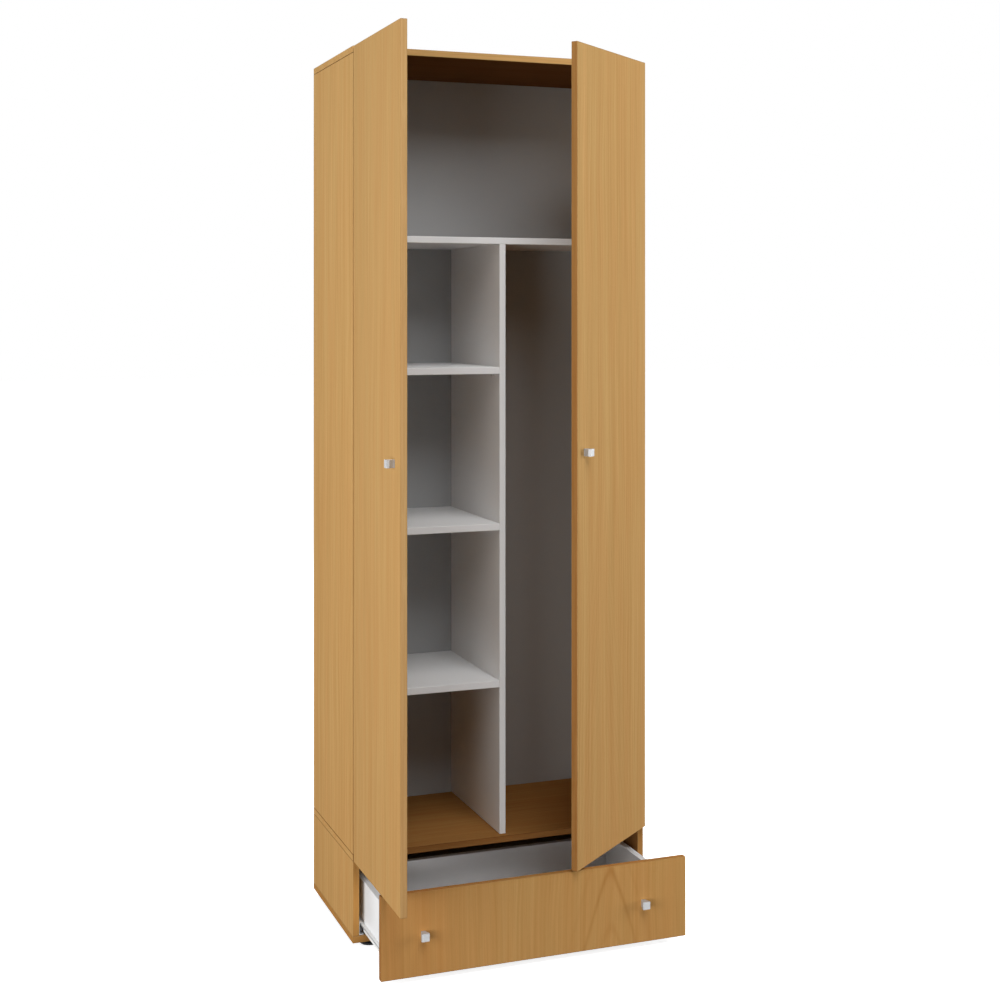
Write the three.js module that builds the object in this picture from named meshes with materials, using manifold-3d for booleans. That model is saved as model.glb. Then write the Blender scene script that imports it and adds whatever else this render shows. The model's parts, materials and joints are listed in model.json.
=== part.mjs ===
// Broom cupboard: two hinged doors above a drawer, with a hat shelf, a centre divider and three shelves.
// Millimetres, +X to the right, +Y to the rear, +Z up. The left door stands square open, the right
// door is ajar and the drawer is pulled out.
import * as THREE from 'three';
import { mergeVertices } from 'three/addons/utils/BufferGeometryUtils.js';
import Module from 'manifold-3d';

const wasm = await Module();
wasm.setup();

// Carcass
const cupboardWidth = 710;
const carcassDepth = 360;
const carcassHeight = 1988;
const boardThickness = 15;
const shelfThickness = 16;
const backThickness = 3;
const backReveal = 2;
const middlePanelUnderside = 182.5;
const hatSpaceHeight = 404;
const dividerLeft = 352;
const shelfPitch = 361;
const midShelfBelowHinge = 189;
const highShelfAboveHinge = 170.5;
const insideSetback = 14;
const jointLine = 0.2;
const edgeEase = 0.8;
const thinEase = 0.4;

// Glides under the bottom panel
const glideHeight = 12;
const glideRadius = 24;
const glideTopRadius = 18;
const glideChamfer = 3;
const glideBodyHeight = 8;
const glideFromSide = 46;
const glideFromFront = 28;

// Doors
const doorThickness = 15;
const doorFaceGap = 2;
const doorReveals = { left: 0, right: 2.5 };
const doorMeetingGap = 2.5;
const doorFootLap = 1;
const doorTopReveal = 1.5;
const leftDoorAngle = THREE.MathUtils.degToRad(90);
const rightDoorAngle = THREE.MathUtils.degToRad(39.7);

// Knobs
const knobWidth = 17;
const knobHeight = 16.5;
const knobReach = 19;
const knobHeadDepth = 6;
const knobFootWidth = 9;
const knobEase = 0.4;
const knobSeatGap = 0.3;
const knobCurveSides = 8;
const knobEaseSides = 2;
const doorKnobsFromEdge = { left: 41, right: 35 };
const doorKnobHeight = 1091;

// Concealed cup hinges, three to a door
const hingeAxisFromEdge = 5;
const hingeAxisFromFace = 5;
const hingeFromDoorEnd = 95;
const cupDiameter = 35;
const cupFromDoorEdge = 21.5;
const cupDepth = 11.2;
const cupWall = 1.2;
const cupSeatGap = 0.3;
const cupFlangeThickness = 1.2;
const cupFlangeMargin = 0.6;
const cupEarReach = 26;
const cupEarRadius = 6;
const cupEarOffset = 5.5;
const cupScrewRadius = 3.4;
const cupScrewHead = 1;

const armHeight = 14;
const armSheet = 1.2;
const armTopFromNose = 1.9;
const armBottom = 3;
const armRear = 62;
const armShoulder = 6;
const nosePivotFromDoorEdge = 28.9;
const nosePivotAhead = 7.8;
const noseRadius = 3.2;
const nosePinRadius = 1.3;
const plateThickness = 4;
const plateFront = 24;
const plateRear = 58;
const plateHalfHeight = 7;
const plateWingReach = 24;
const plateWingRadius = 5.5;
const plateScrewLine = 37;
const hingeScrewRadius = 3.4;
const hingeScrewHead = 1.6;
const armScrewPlaces = [22, 46];

const linkLength = 18.7;
const linkRadius = 2;
const linkKnuckleRadius = 2.8;
const linkPinClearance = 0.3;
const linkHeight = 11;
const linkShutAngle = THREE.MathUtils.degToRad(176.2);
const linkTurnShare = 0.44;

// Drawer
const drawerTravelOut = 205;
const drawerFrontUnderside = 2.5;
const doorDrawerGap = 4;
const drawerFrontReveals = { left: 0, right: 1.5 };
const drawerSideThickness = 15;
const drawerSideHeight = 108;
const drawerRearClearance = 22;
const drawerBackDrop = 6;
const drawerBottomThickness = 3;
const drawerBottomRise = 8;
const grooveDepth = 6;
const grooveSlack = 0.3;
const drawerKnobsFromEnds = { left: 92, right: 107 };
const drawerKnobHeight = 89;

// Roller runners
const runnerGap = 13;
const runnerSheet = 1.2;
const runnerUnderside = 16.5;
const runnerChannelHeight = 27;
const runnerFloorWidth = 10.3;
const runnerRoofWidth = 8;
const runnerFrontSetback = 2;
const runnerRearClearance = 12;
const drawerRailDrop = 18.5;
const drawerRailLegWidth = 12;
const drawerRailFlangeReach = 7.6;
const drawerRailSetback = 4;
const wheelRadius = 10;
const wheelWidth = 6;
const wheelBoreRadius = 2.8;
const wheelAxleRadius = 2.5;
const wheelAxleHead = 4.2;
const wheelAxleHeadThickness = 0.8;
const wheelRunningGap = 0.3;
const wheelSideGap = 0.4;
const wheelGroove = 0.8;
const cabinetWheelFromFront = 14;
const drawerWheelFromRear = 13;

// Fineness of round shapes and the overrun of every cut
const roundSides = 24;
const smallSides = 12;
const screwSides = 8;
const cutOverrun = 1;

// Finishes: colour, roughness, metalness
const finishes = {
  beech: ['#b98f55', 0.45, 0],
  beechDoor: ['#b28a52', 0.45, 0],
  white: ['#e6e5e3', 0.4, 0],
  backWhite: ['#dcdad8', 0.6, 0],
  satinMetal: ['#c9c8c4', 0.3, 1],
  hingeSteel: ['#b5b6b8', 0.25, 1],
  runnerWhite: ['#f0f0ee', 0.35, 0],
  wheelPlastic: ['#3a3a3c', 0.5, 0],
  glideBlack: ['#151515', 0.6, 0],
};

// Places that several sub-parts share
const innerLeft = boardThickness;
const innerRight = cupboardWidth - boardThickness;
const carcassTopUnderside = carcassHeight - boardThickness;
const middlePanelTop = middlePanelUnderside + boardThickness;
const hatShelfTop = carcassTopUnderside - hatSpaceHeight;
const hatShelfUnderside = hatShelfTop - boardThickness;
const doorUnderside = middlePanelUnderside + doorFootLap;
const doorTop = carcassHeight - doorTopReveal;
const doorInnerFaceLocal = doorThickness - hingeAxisFromFace;
const doorWidth = (cupboardWidth - doorReveals.left - doorReveals.right - doorMeetingGap) / 2;
const doorFarEdgeLocal = doorWidth - hingeAxisFromEdge;
const cupCentreLocal = cupFromDoorEdge - hingeAxisFromEdge;
const cupRadius = cupDiameter / 2 - cupSeatGap;
const hingeAxisY = hingeAxisFromFace - doorThickness - doorFaceGap;
const hingeHeights = {
  bottom: doorUnderside + hingeFromDoorEnd,
  middle: (doorUnderside + doorTop) / 2,
  top: doorTop - hingeFromDoorEnd,
};
const nosePivotInside = {
  left: doorReveals.left + nosePivotFromDoorEdge - boardThickness,
  right: doorReveals.right + nosePivotFromDoorEdge - boardThickness,
};
const midShelfUnderside = hingeHeights.middle - midShelfBelowHinge;
const shelfUndersides = {
  low_shelf: midShelfUnderside - shelfPitch,
  mid_shelf: midShelfUnderside,
  high_shelf: hingeHeights.middle + highShelfAboveHinge,
};
const drawerFrontTop = doorUnderside - doorDrawerGap;
const runnerFloorTop = runnerUnderside + runnerSheet;
const wheelCentreHeight = runnerFloorTop + wheelRunningGap + wheelRadius;
const drawerFlangeUnderside = wheelCentreHeight + wheelRadius + wheelRunningGap;
const drawerRailTop = drawerFlangeUnderside + runnerSheet;
const drawerRailUnderside = drawerRailTop - drawerRailDrop;
const drawerSideUnderside = drawerRailUnderside + runnerSheet + jointLine;
const drawerSideTop = drawerSideUnderside + drawerSideHeight;
const drawerLeft = innerLeft + runnerGap;
const drawerRight = innerRight - runnerGap;
const drawerRear = carcassDepth - drawerRearClearance;
const drawerBottomUnderside = drawerSideUnderside + drawerBottomRise;
const drawerBottomTop = drawerBottomUnderside + drawerBottomThickness;

// Geometry helpers

function solidOf(geometry) {
  const bare = geometry.clone();
  bare.deleteAttribute('normal');
  bare.deleteAttribute('uv');
  const welded = mergeVertices(bare);
  const vertProperties = new Float32Array(welded.attributes.position.array);
  const triVerts = new Uint32Array(welded.index.array);
  return new wasm.Manifold(new wasm.Mesh({ numProp: 3, vertProperties, triVerts }));
}

function geometryOf(solid) {
  const { vertProperties, triVerts } = solid.getMesh();
  const geometry = new THREE.BufferGeometry();
  geometry.setAttribute('position', new THREE.BufferAttribute(vertProperties, 3));
  geometry.setIndex(new THREE.BufferAttribute(triVerts, 1));
  geometry.computeVertexNormals();
  return geometry;
}

function joined(geometries) {
  const [first, ...rest] = geometries.map(solidOf);
  return rest.reduce((whole, piece) => whole.add(piece), first);
}

function cutFrom(whole, cutters) {
  return cutters.map(solidOf).reduce((left, cutter) => left.subtract(cutter), whole);
}

function part(name, geometry, finish) {
  const [color, roughness, metalness] = finishes[finish];
  const mesh = new THREE.Mesh(geometry, new THREE.MeshStandardMaterial({ color, roughness, metalness }));
  mesh.name = name;
  return mesh;
}

function shapeOf(points) {
  return new THREE.Shape(points.map(([x, y]) => new THREE.Vector2(x, y)));
}

// A plain block between two corners, used for cuts and small members
function block(low, high) {
  const size = high.map((value, i) => value - low[i]);
  const centre = high.map((value, i) => (value + low[i]) / 2);
  return new THREE.BoxGeometry(...size).translate(...centre);
}

// A board between two corners, its twelve arrises lightly eased
function boardGeometry(low, high, ease) {
  const [width, depth, height] = high.map((value, i) => value - low[i]);
  const x = width / 2 - ease;
  const y = depth / 2 - ease;
  const corner = ease / 2;
  const outline = shapeOf([
    [-x + corner, -y], [x - corner, -y], [x, -y + corner], [x, y - corner],
    [x - corner, y], [-x + corner, y], [-x, y - corner], [-x, -y + corner],
  ]);
  const geometry = new THREE.ExtrudeGeometry(outline, {
    depth: height - 2 * ease, bevelEnabled: true, bevelSegments: 1, bevelSize: ease, bevelThickness: ease,
  });
  return geometry.translate(low[0] + width / 2, low[1] + depth / 2, low[2] + ease);
}

function board(name, finish, low, high, ease = edgeEase) {
  return part(name, boardGeometry(low, high, ease), finish);
}

// Extrudes an outline drawn in X and Z along Y, from yLow to yHigh
function extrudeAlongY(outline, yLow, yHigh) {
  const geometry = new THREE.ExtrudeGeometry(outline, { depth: yHigh - yLow, bevelEnabled: false });
  const turn = new THREE.Matrix4().makeBasis(
    new THREE.Vector3(1, 0, 0), new THREE.Vector3(0, 0, 1), new THREE.Vector3(0, -1, 0));
  return geometry.applyMatrix4(turn).translate(0, yHigh, 0);
}

// Extrudes an outline drawn in Y and Z along X, between two places in either order
function extrudeAlongX(outline, xOne, xTwo, sides) {
  const depth = Math.abs(xTwo - xOne);
  const options = { depth, bevelEnabled: false, curveSegments: sides };
  const geometry = new THREE.ExtrudeGeometry(outline, options);
  const turn = new THREE.Matrix4().makeBasis(
    new THREE.Vector3(0, 1, 0), new THREE.Vector3(0, 0, 1), new THREE.Vector3(1, 0, 0));
  return geometry.applyMatrix4(turn).translate(Math.min(xOne, xTwo), 0, 0);
}

// A round bar along X, between two places in either order
function barAlongX(radius, xOne, xTwo, y, z, sides) {
  const bar = new THREE.CylinderGeometry(radius, radius, Math.abs(xTwo - xOne), sides);
  return bar.rotateZ(Math.PI / 2).translate((xOne + xTwo) / 2, y, z);
}

// A round bar along Y
function barAlongY(radius, yLow, yHigh, x, z, sides) {
  const bar = new THREE.CylinderGeometry(radius, radius, yHigh - yLow, sides);
  return bar.translate(x, (yLow + yHigh) / 2, z);
}

// A round bar along Z
function barAlongZ(radius, zLow, zHigh, x, y, sides) {
  const bar = new THREE.CylinderGeometry(radius, radius, zHigh - zLow, sides);
  return bar.rotateX(Math.PI / 2).translate(x, y, (zLow + zHigh) / 2);
}

// Carcass boards: top, middle and bottom run through, and the sides stand between them

function carcassBoards() {
  const through = (underside) => [
    [0, 0, underside],
    [cupboardWidth, carcassDepth, underside + boardThickness],
  ];
  const lowerSide = (left) => [
    [left, 0, boardThickness + jointLine],
    [left + boardThickness, carcassDepth, middlePanelUnderside - jointLine],
  ];
  const upperSide = (left) => [
    [left, 0, middlePanelTop + jointLine],
    [left + boardThickness, carcassDepth, carcassTopUnderside - jointLine],
  ];
  const places = {
    bottom_panel: through(0),
    middle_panel: through(middlePanelUnderside),
    top_panel: through(carcassTopUnderside),
    lower_left_side: lowerSide(0),
    lower_right_side: lowerSide(innerRight),
    upper_left_side: upperSide(0),
    upper_right_side: upperSide(innerRight),
  };
  return Object.entries(places).map(([name, [low, high]]) => board(name, 'beech', low, high));
}

// Thin backs, fixed on the rear edges of the boards
function backPanels() {
  const yLow = carcassDepth + jointLine;
  const back = (name, zLow, zHigh) => board(name, 'backWhite',
    [backReveal, yLow, zLow], [cupboardWidth - backReveal, yLow + backThickness, zHigh], thinEase);
  const split = middlePanelUnderside + boardThickness / 2;
  return [
    back('lower_back_panel', backReveal, split - jointLine),
    back('upper_back_panel', split + jointLine, carcassHeight - backReveal),
  ];
}

function insideBoards() {
  const hatShelf = board('hat_shelf', 'white',
    [innerLeft + jointLine, insideSetback, hatShelfUnderside],
    [innerRight - jointLine, carcassDepth, hatShelfTop]);
  const divider = board('centre_divider', 'white',
    [dividerLeft, insideSetback, middlePanelTop + jointLine],
    [dividerLeft + boardThickness, carcassDepth, hatShelfUnderside - jointLine]);
  const shelves = Object.entries(shelfUndersides).map(([name, underside]) => board(name, 'white',
    [innerLeft + jointLine, insideSetback, underside],
    [dividerLeft - jointLine, carcassDepth, underside + shelfThickness]));
  return [hatShelf, divider, ...shelves];
}

function glides() {
  const neckStart = glideBodyHeight - glideHeight;
  const profile = [
    [0, -glideHeight], [glideRadius - glideChamfer, -glideHeight],
    [glideRadius, glideChamfer - glideHeight],
    [glideRadius, neckStart - glideChamfer / 2], [glideTopRadius, neckStart],
    [glideTopRadius, -jointLine], [0, -jointLine],
  ].map(([r, z]) => new THREE.Vector2(r, z));
  const places = {
    glide_front_left: [glideFromSide, glideFromFront],
    glide_front_right: [cupboardWidth - glideFromSide, glideFromFront],
    glide_rear_left: [glideFromSide, carcassDepth - glideFromFront],
    glide_rear_right: [cupboardWidth - glideFromSide, carcassDepth - glideFromFront],
  };
  return Object.entries(places).map(([name, [x, y]]) => {
    const turned = new THREE.LatheGeometry(profile, roundSides).rotateX(Math.PI / 2);
    const glide = part(name, turned, 'glideBlack');
    glide.position.set(x, y, 0);
    return glide;
  });
}

// Knob: a square head on a neck that narrows towards the board, drawn in plan and extruded upwards.
// Its foot is at y = 0 and it reaches out along -Y.
function knobGeometry() {
  const head = knobWidth / 2 - knobEase;
  const foot = knobFootWidth / 2 - knobEase;
  const neckEnd = knobReach - knobHeadDepth;
  const footLine = knobSeatGap + knobEase;
  const faceLine = knobReach - knobEase;
  const outline = new THREE.Shape();
  outline.moveTo(-foot, -footLine);
  outline.quadraticCurveTo(-foot, -neckEnd / 2, -head, -neckEnd);
  outline.lineTo(-head, -faceLine);
  outline.lineTo(head, -faceLine);
  outline.lineTo(head, -neckEnd);
  outline.quadraticCurveTo(foot, -neckEnd / 2, foot, -footLine);
  const geometry = new THREE.ExtrudeGeometry(outline, {
    depth: knobHeight - 2 * knobEase, curveSegments: knobCurveSides,
    bevelEnabled: true, bevelSegments: knobEaseSides, bevelSize: knobEase, bevelThickness: knobEase,
  });
  return geometry.translate(0, 0, knobEase - knobHeight / 2);
}

function knob(name, x, y, z) {
  const mesh = part(name, knobGeometry(), 'satinMetal');
  mesh.position.set(x, y, z);
  return mesh;
}

// Hinge cup: a round cup sunk in the door, with two screwed ears. Its mouth looks along +Y.
function cupGeometry(mirror) {
  const inner = cupRadius - cupWall;
  const profile = [
    [0, -cupDepth], [cupRadius, -cupDepth], [cupRadius, cupSeatGap], [inner, cupSeatGap],
    [inner, cupWall - cupDepth], [0, cupWall - cupDepth],
  ].map(([r, y]) => new THREE.Vector2(r, y));
  const cup = new THREE.LatheGeometry(profile, roundSides);
  const flangeTop = cupSeatGap + cupFlangeThickness;
  const rim = barAlongY(cupRadius + cupFlangeMargin, cupSeatGap, flangeTop, 0, 0, roundSides);
  const earX = mirror * cupEarOffset;
  const ears = [-1, 1].map((end) => barAlongY(
    cupEarRadius, cupSeatGap, flangeTop, earX, end * cupEarReach, smallSides));
  const earStrip = block(
    [earX - cupEarRadius, cupSeatGap, -cupEarReach],
    [earX + cupEarRadius, flangeTop, cupEarReach]);
  const screws = [-1, 1].map((end) => barAlongY(
    cupScrewRadius, cupSeatGap, flangeTop + cupScrewHead, earX, end * cupEarReach, screwSides));
  const mouth = barAlongY(inner, cupSeatGap - cutOverrun, flangeTop + cutOverrun, 0, 0, roundSides);
  const flange = cutFrom(joined([rim, earStrip, ...ears, ...screws]), [mouth]);
  return geometryOf(flange.add(solidOf(cup)));
}

// Door in its own frame: the hinge axis is Z, the board reaches along mirror * X, its outer face looks
// along -Y
function door(name, mirror) {
  const near = -mirror * hingeAxisFromEdge;
  const far = mirror * doorFarEdgeLocal;
  const low = [Math.min(near, far), -hingeAxisFromFace, doorUnderside];
  const high = [Math.max(near, far), doorInnerFaceLocal, doorTop];
  const bores = Object.values(hingeHeights).map((height) => barAlongY(
    cupDiameter / 2, doorInnerFaceLocal - cupDepth - cupSeatGap, doorInnerFaceLocal + cutOverrun,
    mirror * cupCentreLocal, height, roundSides));
  const drilled = cutFrom(solidOf(boardGeometry(low, high, edgeEase)), bores);
  const side = name.split('_')[0];
  const knobX = mirror * (doorFarEdgeLocal - doorKnobsFromEdge[side]);
  const handle = knob(`${name}_knob`, knobX, -hingeAxisFromFace, doorKnobHeight);
  const cups = Object.entries(hingeHeights).map(([place, height]) => {
    const cup = part(`hinge_cup_${side}_${place}`, cupGeometry(mirror), 'hingeSteel');
    cup.position.set(mirror * cupCentreLocal, doorInnerFaceLocal, height);
    return cup;
  });
  const group = new THREE.Group();
  group.add(part(name, geometryOf(drilled), 'beechDoor'), handle, ...cups);
  return group;
}

function leftDoor() {
  const group = door('left_door', 1);
  group.position.set(doorReveals.left + hingeAxisFromEdge, hingeAxisY, 0);
  group.rotation.z = -leftDoorAngle;
  return group;
}

function rightDoor() {
  const group = door('right_door', -1);
  group.position.set(cupboardWidth - doorReveals.right - hingeAxisFromEdge, hingeAxisY, 0);
  group.rotation.z = rightDoorAngle;
  return group;
}

// A flat outline extruded to both sides of z = 0
function slab(outline, half) {
  const geometry = new THREE.ExtrudeGeometry(outline, { depth: 2 * half, bevelEnabled: false });
  return geometry.translate(0, 0, -half);
}

// The folded channel of a hinge arm, with its nose and the pin across it. The nose's pivot lies noseX
// inwards from the side board.
function armChannel(mirror, noseX) {
  const inward = (points) => shapeOf(points.map(([x, y]) => [mirror * x, y]));
  const half = armHeight / 2;
  const noseBack = noseRadius - nosePivotAhead;
  const armTop = noseX - armTopFromNose;
  const body = inward([
    [armBottom, armRear], [armTop, armRear], [armTop, armShoulder],
    [noseX + noseRadius, noseBack], [noseX + noseRadius, -nosePivotAhead],
    [noseX - noseRadius, -nosePivotAhead], [noseX - noseRadius, noseBack], [armBottom, armShoulder],
  ]);
  const pocketFront = -nosePivotAhead - noseRadius - cutOverrun;
  const pocket = inward([
    [armBottom - cutOverrun, armRear + cutOverrun], [armTop - armSheet, armRear + cutOverrun],
    [armTop - armSheet, armShoulder], [noseX + noseRadius + cutOverrun, noseBack],
    [noseX + noseRadius + cutOverrun, pocketFront], [noseX - noseRadius - cutOverrun, pocketFront],
    [armBottom - cutOverrun, armShoulder],
  ]);
  const nose = barAlongZ(noseRadius, -half, half, mirror * noseX, -nosePivotAhead, smallSides);
  const pin = barAlongZ(nosePinRadius, -half, half, mirror * noseX, -nosePivotAhead, smallSides);
  return cutFrom(joined([slab(body, half), nose]), [slab(pocket, half - armSheet)]).add(solidOf(pin));
}

// Hinge arm on its mounting plate: x is measured inwards from the side board, and the nose reaches past
// the front
function armGeometry(mirror, noseX) {
  const face = mirror * jointLine;
  const plateTop = mirror * plateThickness;
  const base = block(
    [Math.min(face, plateTop), plateFront, -plateHalfHeight],
    [Math.max(face, plateTop), plateRear, plateHalfHeight]);
  const wing = block(
    [Math.min(face, plateTop / 2), plateScrewLine - plateWingRadius, -plateWingReach],
    [Math.max(face, plateTop / 2), plateScrewLine + plateWingRadius, plateWingReach]);
  const wingEnds = [-1, 1].map((end) => barAlongX(
    plateWingRadius, face, plateTop / 2, plateScrewLine, end * plateWingReach, smallSides));
  const plateScrewTop = plateTop / 2 + mirror * hingeScrewHead;
  const screws = [-1, 1].map((end) => barAlongX(
    hingeScrewRadius, face, plateScrewTop, plateScrewLine, end * plateWingReach, screwSides));
  const armScrewTop = mirror * (noseX - armTopFromNose + hingeScrewHead);
  const armScrews = armScrewPlaces.map((y) => barAlongX(
    hingeScrewRadius, plateTop / 2, armScrewTop, y, 0, screwSides));
  const plate = joined([base, wing, ...wingEnds, ...screws, ...armScrews]);
  return geometryOf(armChannel(mirror, noseX).add(plate));
}

function hingeArms() {
  const sides = [['left', 1, innerLeft], ['right', -1, innerRight]];
  return sides.flatMap(([side, mirror, face]) => Object.entries(hingeHeights).map(([place, height]) => {
    const geometry = armGeometry(mirror, nosePivotInside[side]);
    const arm = part(`hinge_arm_${side}_${place}`, geometry, 'hingeSteel');
    arm.position.set(face, 0, height);
    return arm;
  }));
}

// Link between the arm's nose and the cup: a knuckle on the nose pin and a bar whose round end lies in
// the cup
function linkGeometry(mirror) {
  const half = linkHeight / 2;
  const bar = block([0, -linkRadius, -half], [linkLength, linkRadius, half]);
  const tip = barAlongZ(linkRadius, -half, half, linkLength, 0, smallSides);
  const knuckle = barAlongZ(linkKnuckleRadius, -half, half, 0, 0, smallSides);
  const eye = barAlongZ(
    nosePinRadius + linkPinClearance, -half - cutOverrun, half + cutOverrun, 0, 0, smallSides);
  const link = geometryOf(cutFrom(joined([bar, tip, knuckle]), [eye]));
  return mirror > 0 ? link : link.rotateZ(Math.PI);
}

function hingeLinks() {
  const sides = [['left', 1, innerLeft, leftDoorAngle], ['right', -1, innerRight, rightDoorAngle]];
  const links = ([side, mirror, face, openAngle]) => Object.entries(hingeHeights).map(([place, height]) => {
    const link = part(`hinge_link_${side}_${place}`, linkGeometry(mirror), 'hingeSteel');
    link.position.set(face + mirror * nosePivotInside[side], -nosePivotAhead, height);
    link.rotation.z = mirror * (linkShutAngle + linkTurnShare * openAngle);
    return link;
  });
  return sides.flatMap(links);
}

// Cabinet half of a roller runner: a channel screwed to the side board, x measured inwards
function cabinetRail(name, mirror, face) {
  const roof = runnerUnderside + runnerChannelHeight;
  const web = jointLine + runnerSheet;
  const outline = shapeOf([
    [jointLine, runnerUnderside], [runnerFloorWidth, runnerUnderside], [runnerFloorWidth, runnerFloorTop],
    [web, runnerFloorTop], [web, roof - runnerSheet], [runnerRoofWidth, roof - runnerSheet],
    [runnerRoofWidth, roof], [jointLine, roof],
  ].map(([x, z]) => [mirror * x, z]));
  const channel = extrudeAlongY(outline, runnerFrontSetback, carcassDepth - runnerRearClearance);
  const wheelInner = web + wheelSideGap;
  const wheelOuter = wheelInner + wheelWidth;
  const axleEnd = wheelOuter + wheelSideGap;
  const axle = barAlongX(wheelAxleRadius, mirror * jointLine, mirror * (axleEnd + wheelAxleHeadThickness),
    cabinetWheelFromFront, wheelCentreHeight, smallSides);
  const head = barAlongX(wheelAxleHead, mirror * axleEnd, mirror * (axleEnd + wheelAxleHeadThickness),
    cabinetWheelFromFront, wheelCentreHeight, smallSides);
  const rail = part(name, geometryOf(joined([channel, axle, head])), 'runnerWhite');
  rail.position.x = face;
  return rail;
}

// Drawer half of a roller runner: it hooks under the drawer side and hangs a flange over the front wheel
function drawerRail(name, mirror, face) {
  const webOut = runnerGap - jointLine - runnerSheet;
  const webIn = runnerGap - jointLine;
  const legEnd = runnerGap + drawerRailLegWidth;
  const flangeEnd = webOut - drawerRailFlangeReach;
  const outline = shapeOf([
    [webOut, drawerRailUnderside], [legEnd, drawerRailUnderside],
    [legEnd, drawerRailUnderside + runnerSheet],
    [webIn, drawerRailUnderside + runnerSheet], [webIn, drawerRailTop], [flangeEnd, drawerRailTop],
    [flangeEnd, drawerFlangeUnderside], [webOut, drawerFlangeUnderside],
  ].map(([x, z]) => [mirror * x, z]));
  const profile = extrudeAlongY(outline, drawerRailSetback, drawerRear);
  const wheelY = drawerRear - drawerWheelFromRear;
  const wheelIn = webOut - wheelSideGap;
  const axleEnd = wheelIn - wheelWidth - wheelSideGap;
  const axle = barAlongX(wheelAxleRadius, mirror * webIn, mirror * (axleEnd - wheelAxleHeadThickness),
    wheelY, wheelCentreHeight, smallSides);
  const head = barAlongX(wheelAxleHead, mirror * axleEnd, mirror * (axleEnd - wheelAxleHeadThickness),
    wheelY, wheelCentreHeight, smallSides);
  const rail = part(name, geometryOf(joined([profile, axle, head])), 'runnerWhite');
  rail.position.x = face;
  return rail;
}

function runnerWheel(name, x, y) {
  const half = wheelWidth / 2;
  const tread = wheelRadius - wheelGroove;
  const profile = [
    [wheelBoreRadius, -half], [tread, -half], [wheelRadius, -half + wheelGroove],
    [wheelRadius, half - wheelGroove], [tread, half], [wheelBoreRadius, half], [wheelBoreRadius, -half],
  ].map(([r, h]) => new THREE.Vector2(r, h));
  const turned = new THREE.LatheGeometry(profile, roundSides).rotateZ(Math.PI / 2);
  const wheel = part(name, turned, 'wheelPlastic');
  wheel.position.set(x, y, wheelCentreHeight);
  return wheel;
}

function cabinetRunners() {
  const wheelX = jointLine + runnerSheet + wheelSideGap + wheelWidth / 2;
  return [
    cabinetRail('left_cabinet_rail', 1, innerLeft),
    cabinetRail('right_cabinet_rail', -1, innerRight),
    runnerWheel('runner_wheel_cabinet_left', innerLeft + wheelX, cabinetWheelFromFront),
    runnerWheel('runner_wheel_cabinet_right', innerRight - wheelX, cabinetWheelFromFront),
  ];
}

// Drawer, drawn shut and then pulled out as one group

// The slot that holds the thin bottom, cut along the front and both sides
function bottomGroove() {
  const grooveLeft = drawerLeft + drawerSideThickness - grooveDepth;
  const grooveRight = drawerRight - drawerSideThickness + grooveDepth;
  return block(
    [grooveLeft, -doorFaceGap - grooveDepth, drawerBottomUnderside - grooveSlack],
    [grooveRight, drawerRear + cutOverrun, drawerBottomTop + grooveSlack]);
}

function groovedBoard(name, finish, low, high) {
  const whole = solidOf(boardGeometry(low, high, edgeEase));
  return part(name, geometryOf(cutFrom(whole, [bottomGroove()])), finish);
}

function drawer() {
  const frontFace = -doorFaceGap - doorThickness;
  const sideFront = -doorFaceGap + jointLine;
  const front = groovedBoard('drawer_front', 'beechDoor',
    [drawerFrontReveals.left, frontFace, drawerFrontUnderside],
    [cupboardWidth - drawerFrontReveals.right, -doorFaceGap, drawerFrontTop]);
  const side = (name, left) => groovedBoard(name, 'white',
    [left, sideFront, drawerSideUnderside], [left + drawerSideThickness, drawerRear, drawerSideTop]);
  const backLeft = drawerLeft + drawerSideThickness + jointLine;
  const backRight = drawerRight - drawerSideThickness - jointLine;
  const back = board('drawer_back', 'white',
    [backLeft, drawerRear - drawerSideThickness, drawerBottomTop + grooveSlack],
    [backRight, drawerRear, drawerSideTop - drawerBackDrop]);
  const slotEnd = grooveDepth - grooveSlack;
  const bottom = board('drawer_bottom', 'backWhite',
    [drawerLeft + drawerSideThickness - slotEnd, -doorFaceGap - slotEnd, drawerBottomUnderside],
    [drawerRight - drawerSideThickness + slotEnd, drawerRear, drawerBottomTop], thinEase);
  const wheelX = runnerGap - jointLine - runnerSheet - wheelSideGap - wheelWidth / 2;
  const wheelY = drawerRear - drawerWheelFromRear;
  const group = new THREE.Group();
  group.add(
    front, back, bottom,
    side('drawer_left_side', drawerLeft),
    side('drawer_right_side', drawerRight - drawerSideThickness),
    knob('drawer_left_knob', drawerKnobsFromEnds.left, frontFace, drawerKnobHeight),
    knob('drawer_right_knob', cupboardWidth - drawerKnobsFromEnds.right, frontFace, drawerKnobHeight),
    drawerRail('left_drawer_rail', 1, innerLeft), drawerRail('right_drawer_rail', -1, innerRight),
    runnerWheel('runner_wheel_drawer_left', innerLeft + wheelX, wheelY),
    runnerWheel('runner_wheel_drawer_right', innerRight - wheelX, wheelY));
  group.position.y = -drawerTravelOut;
  return group;
}

// The whole cupboard, moved so that its origin is at floor level, in the middle of its plan
const cupboard = new THREE.Group();
cupboard.add(
  ...carcassBoards(), ...backPanels(), ...insideBoards(), ...glides(), ...hingeArms(), ...hingeLinks(),
  ...cabinetRunners(), leftDoor(), rightDoor(), drawer());
const reach = new THREE.Box3().setFromObject(cupboard);
const middle = reach.getCenter(new THREE.Vector3());
cupboard.position.set(-middle.x, -middle.y, -reach.min.z);

export default cupboard;
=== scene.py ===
# Broom cupboard: finishes, small fasteners, floor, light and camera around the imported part.
# Lengths are in millimetres, and MM turns them into Blender's metres.
# Places are measured on the carcass: from its left face, its front plane and the underside of its
# bottom panel.
import json
import math

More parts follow.
